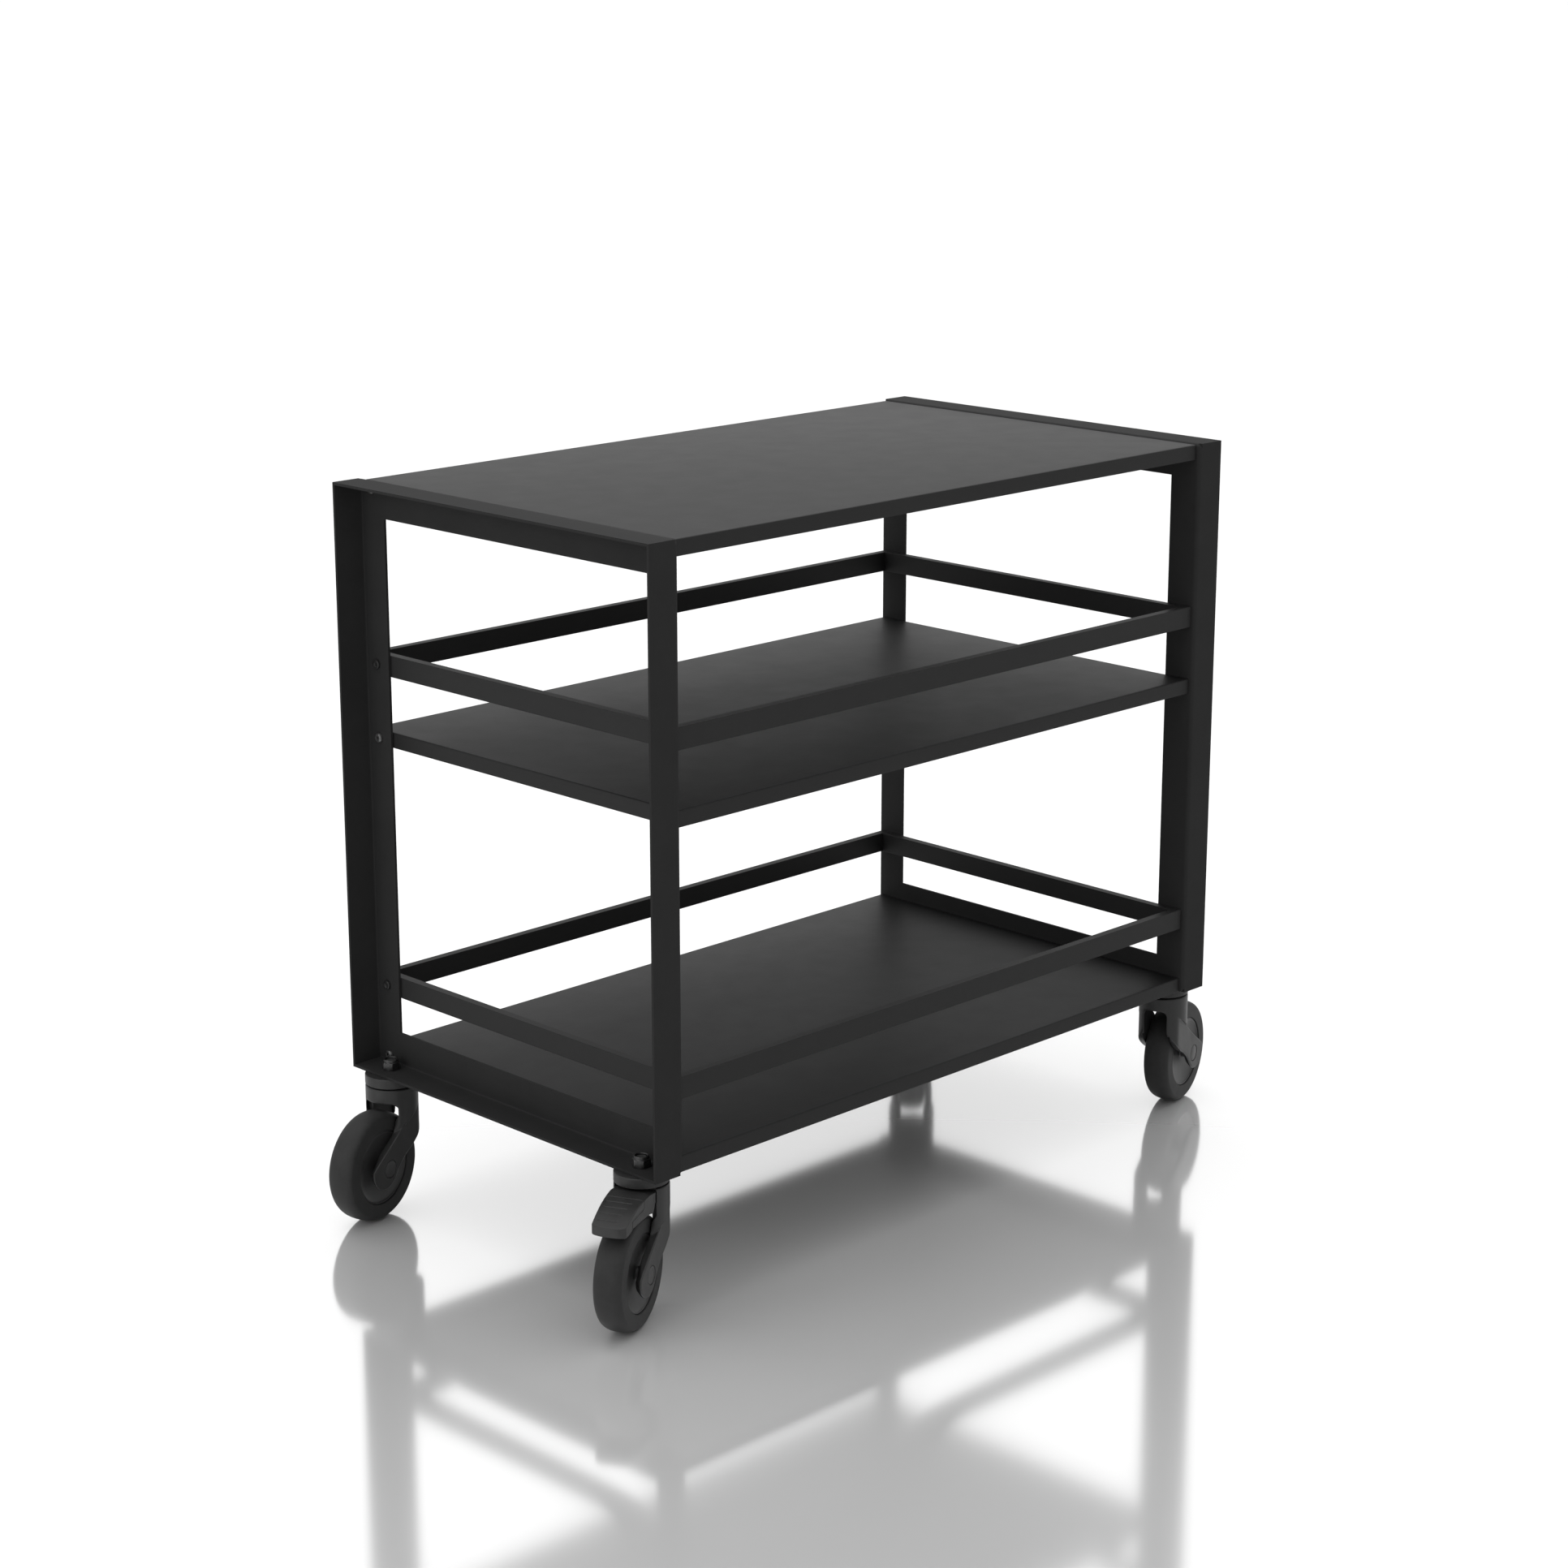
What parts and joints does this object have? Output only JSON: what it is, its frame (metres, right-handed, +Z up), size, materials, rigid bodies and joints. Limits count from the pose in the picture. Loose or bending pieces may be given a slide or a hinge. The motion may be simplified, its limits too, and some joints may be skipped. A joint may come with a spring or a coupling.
{
  "type": "rolling utility cart",
  "caption": "Black steel utility cart: tabletop, middle and bottom shelves with guard rails between folded end frames, on swivel casters, one with a foot brake",
  "frame": {"origin": "on the floor, under the middle of the whole cart's bounding box", "axes": "+X along the long side, towards the right-hand end frame; +Y from the front, where the brake pedal is, to the back; +Z up"},
  "size_m": [1.0582, 0.5486, 0.825],
  "materials": {
    "frame_coat": "satin black powder coat",
    "deck_coat": "satin dark grey powder coat, fine texture",
    "rail_coat": "satin black powder coat",
    "button_screw": "dark zinc",
    "socket_screw": "black oxide",
    "caster_housing": "moulded, fine grain",
    "caster_steel": "dark zinc",
    "lock_nut": "black oxide",
    "axle_cap": "dark grey, satin",
    "wheel_hub": "moulded, satin",
    "tyre": "matt rubber"
  },
  "bodies": {
    "cart": {"end_frame_left": "frame_coat", "end_frame_right": "frame_coat", "tabletop": "deck_coat", "middle_deck": "deck_coat", "bottom_deck": "deck_coat", "upper_rail": "rail_coat", "lower_rail": "rail_coat", "screw_tabletop_front_left": "button_screw", "screw_tabletop_front_right": "button_screw", "screw_tabletop_back_left": "button_screw", "screw_tabletop_back_right": "button_screw", "screw_middle_deck_front_left": "button_screw", "screw_middle_deck_front_right": "button_screw", "screw_middle_deck_back_left": "button_screw", "screw_middle_deck_back_right": "button_screw", "screw_bottom_deck_front_left": "button_screw", "screw_bottom_deck_front_right": "button_screw", "screw_bottom_deck_back_left": "button_screw", "screw_bottom_deck_back_right": "button_screw", "screw_upper_rail_front_left": "socket_screw", "screw_upper_rail_front_right": "socket_screw", "screw_upper_rail_back_left": "socket_screw", "screw_upper_rail_back_right": "socket_screw", "screw_lower_rail_front_left": "socket_screw", "screw_lower_rail_front_right": "socket_screw", "screw_lower_rail_back_left": "socket_screw", "screw_lower_rail_back_right": "socket_screw", "caster_cap_front_left": "caster_housing", "caster_stem_front_left": "caster_steel", "caster_nut_front_left": "lock_nut", "caster_cap_back_left": "caster_housing", "caster_stem_back_left": "caster_steel", "caster_nut_back_left": "lock_nut", "caster_cap_front_right": "caster_housing", "caster_stem_front_right": "caster_steel", "caster_nut_front_right": "lock_nut", "caster_cap_back_right": "caster_housing", "caster_stem_back_right": "caster_steel", "caster_nut_back_right": "lock_nut"},
    "swivel_front_left": {"caster_fork_front_left": "caster_housing", "axle_front_left": "axle_cap"},
    "wheel_front_left": {"wheel_hub_front_left": "wheel_hub", "tyre_front_left": "tyre"},
    "pedal_front_left": {"brake_pedal_front_left": "caster_housing"},
    "swivel_back_left": {"caster_fork_back_left": "caster_housing", "axle_back_left": "axle_cap"},
    "wheel_back_left": {"wheel_hub_back_left": "wheel_hub", "tyre_back_left": "tyre"},
    "swivel_front_right": {"caster_fork_front_right": "caster_housing", "axle_front_right": "axle_cap"},
    "wheel_front_right": {"wheel_hub_front_right": "wheel_hub", "tyre_front_right": "tyre"},
    "swivel_back_right": {"caster_fork_back_right": "caster_housing", "axle_back_right": "axle_cap"},
    "wheel_back_right": {"wheel_hub_back_right": "wheel_hub", "tyre_back_right": "tyre"}
  },
  "joints": [
    {"name": "swivel_front_left", "type": "hinge", "parent": "cart", "child": "swivel_front_left", "pos_m": [-0.42967, -0.21879, 0.141], "axis": [0, 0, 1], "continuous": true},
    {"name": "roll_front_left", "type": "hinge", "parent": "swivel_front_left", "child": "wheel_front_left", "pos_m": [-0.4649, -0.23551, 0.06211], "axis": [0.4289, -0.9033, 0], "continuous": true},
    {"name": "brake_front_left", "type": "hinge", "parent": "swivel_front_left", "child": "pedal_front_left", "pos_m": [-0.44502, -0.22608, 0.1395], "axis": [0.4289, -0.9033, 0], "range_deg": [0, 8]},
    {"name": "swivel_back_left", "type": "hinge", "parent": "cart", "child": "swivel_back_left", "pos_m": [-0.42967, 0.19521, 0.141], "axis": [0, 0, 1], "continuous": true},
    {"name": "roll_back_left", "type": "hinge", "parent": "swivel_back_left", "child": "wheel_back_left", "pos_m": [-0.46753, 0.18585, 0.06211], "axis": [0.2402, -0.9707, 0], "continuous": true},
    {"name": "swivel_front_right", "type": "hinge", "parent": "cart", "child": "swivel_front_right", "pos_m": [0.43033, -0.21879, 0.141], "axis": [0, 0, 1], "continuous": true},
    {"name": "roll_front_right", "type": "hinge", "parent": "swivel_front_right", "child": "wheel_front_right", "pos_m": [0.46782, -0.20803, 0.06211], "axis": [-0.2756, 0.9613, 0], "continuous": true},
    {"name": "swivel_back_right", "type": "hinge", "parent": "cart", "child": "swivel_back_right", "pos_m": [0.43033, 0.19521, 0.141], "axis": [0, 0, 1], "continuous": true},
    {"name": "roll_back_right", "type": "hinge", "parent": "swivel_back_right", "child": "wheel_back_right", "pos_m": [0.45791, 0.22279, 0.06211], "axis": [-0.7071, 0.7071, 0], "continuous": true}
  ]
}
